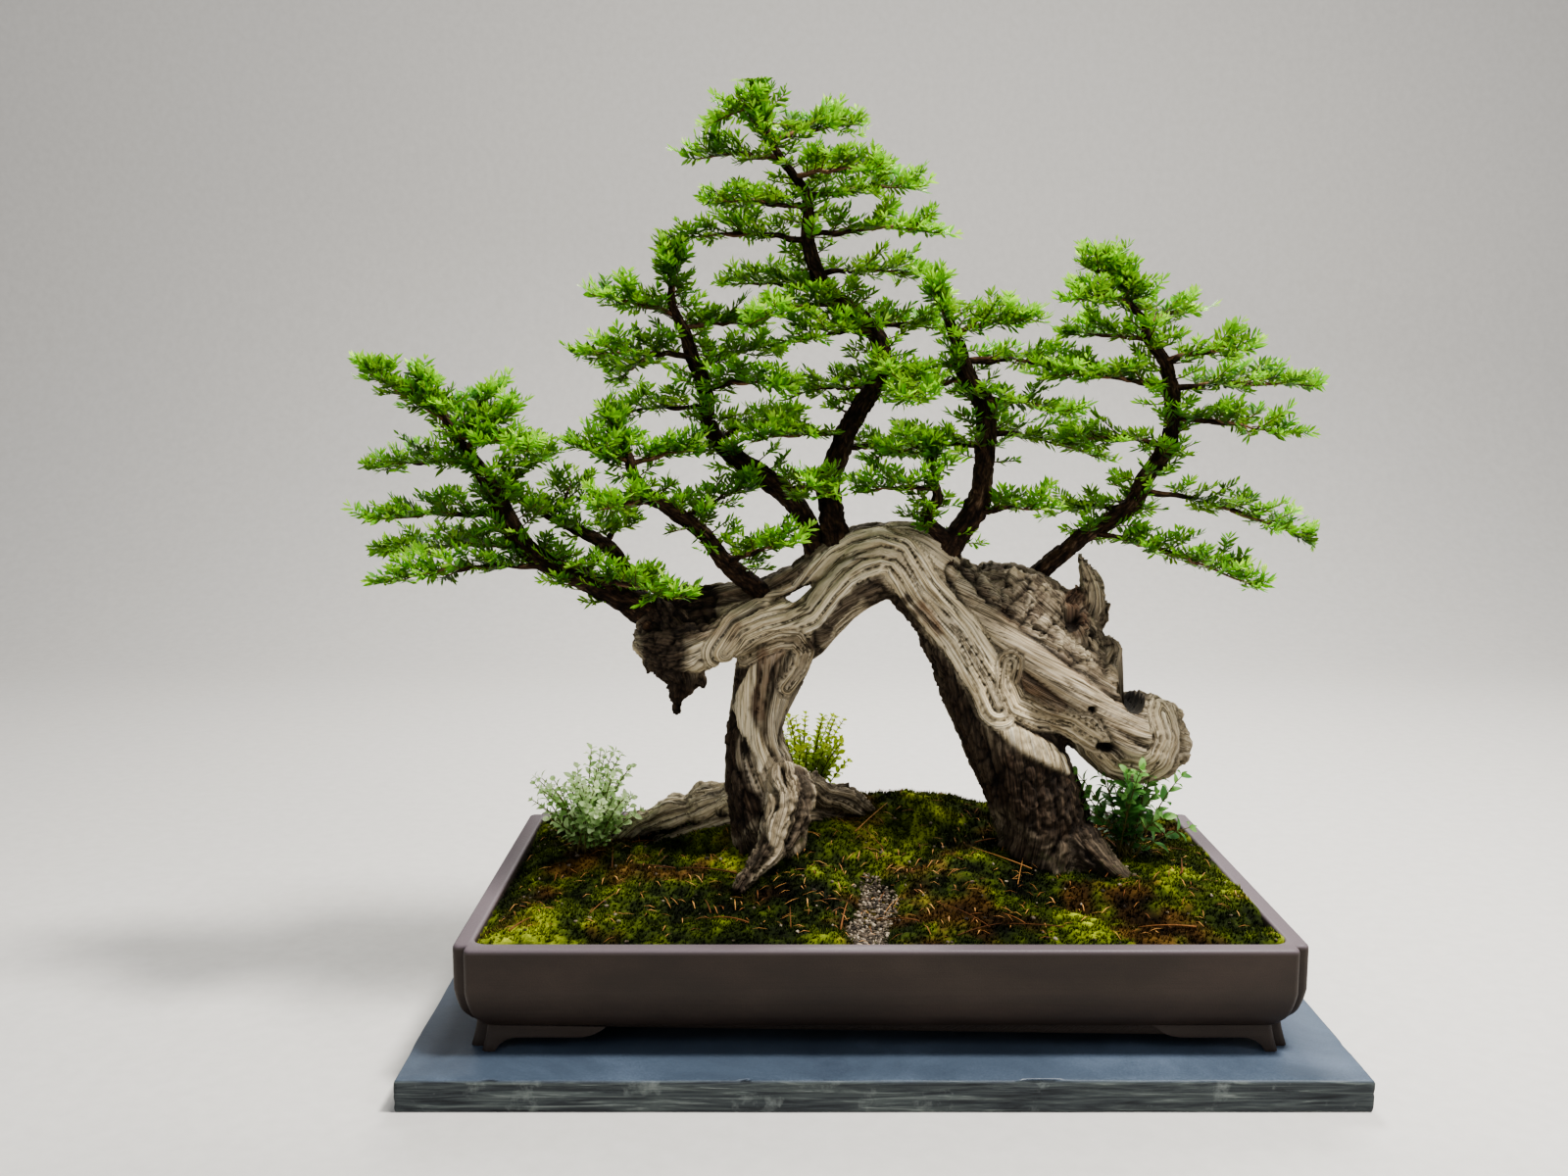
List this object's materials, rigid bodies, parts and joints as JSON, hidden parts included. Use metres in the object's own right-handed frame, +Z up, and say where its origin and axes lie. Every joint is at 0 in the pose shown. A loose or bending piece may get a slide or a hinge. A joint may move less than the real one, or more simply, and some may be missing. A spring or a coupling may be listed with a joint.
{
  "type": "coast redwood bonsai",
  "caption": "Old redwood bonsai: a bleached dead-wood arch with a hollow log carries slim live trunks and sprays of needles, in a shallow stoneware pot on a slate slab.",
  "frame": {"origin": "centre of the slate slab's underside", "axes": "+X to the right along the pot's long side, seen from the tree's front; +Y from front to back; +Z up"},
  "size_m": [0.8925, 0.48, 0.8355],
  "materials": {
    "slate": "satin",
    "stoneware": "matte",
    "screen_plastic": "matte",
    "soil_and_moss": "matte",
    "wood_and_bark": "matte",
    "needles": "satin",
    "pale_leaves": "matte",
    "lime_leaves": "matte",
    "green_leaves": "matte"
  },
  "bodies": {
    "root": {"display_slab": "slate", "pot": "stoneware", "drainage_screen_1": "screen_plastic", "drainage_screen_2": "screen_plastic", "soil": "soil_and_moss", "trunk_and_branches": "wood_and_bark", "thyme_plant": "pale_leaves", "creeping_plant": "lime_leaves", "marjoram_plant": "green_leaves", "crown_1": "needles", "crown_2": "needles", "crown_3": "needles", "crown_4": "needles", "crown_5": "needles", "crown_6": "needles", "spray_1_1": "needles", "spray_1_2": "needles", "spray_1_3": "needles", "spray_1_4": "needles", "spray_1_5": "needles", "spray_1_6": "needles", "spray_2_1": "needles", "spray_2_2": "needles", "spray_2_3": "needles", "spray_3_1": "needles", "spray_3_2": "needles", "spray_3_3": "needles", "spray_3_4": "needles", "spray_3_5": "needles", "spray_3_6": "needles", "spray_4_1": "needles", "spray_4_2": "needles", "spray_4_3": "needles", "spray_4_4": "needles", "spray_4_5": "needles", "spray_4_6": "needles", "spray_4_7": "needles", "spray_4_8": "needles", "spray_4_9": "needles", "spray_4_10": "needles", "spray_4_11": "needles", "spray_4_12": "needles", "spray_4_13": "needles", "spray_5_1": "needles", "spray_5_2": "needles", "spray_5_3": "needles", "spray_5_4": "needles", "spray_5_5": "needles", "spray_5_6": "needles", "spray_6_1": "needles", "spray_6_2": "needles", "spray_6_3": "needles", "spray_6_4": "needles", "spray_6_5": "needles", "spray_6_6": "needles", "spray_6_7": "needles", "spray_6_8": "needles", "spray_fork_1_1": "needles", "spray_fork_1_2": "needles", "spray_fork_2_1": "needles"}
  },
  "joints": []
}
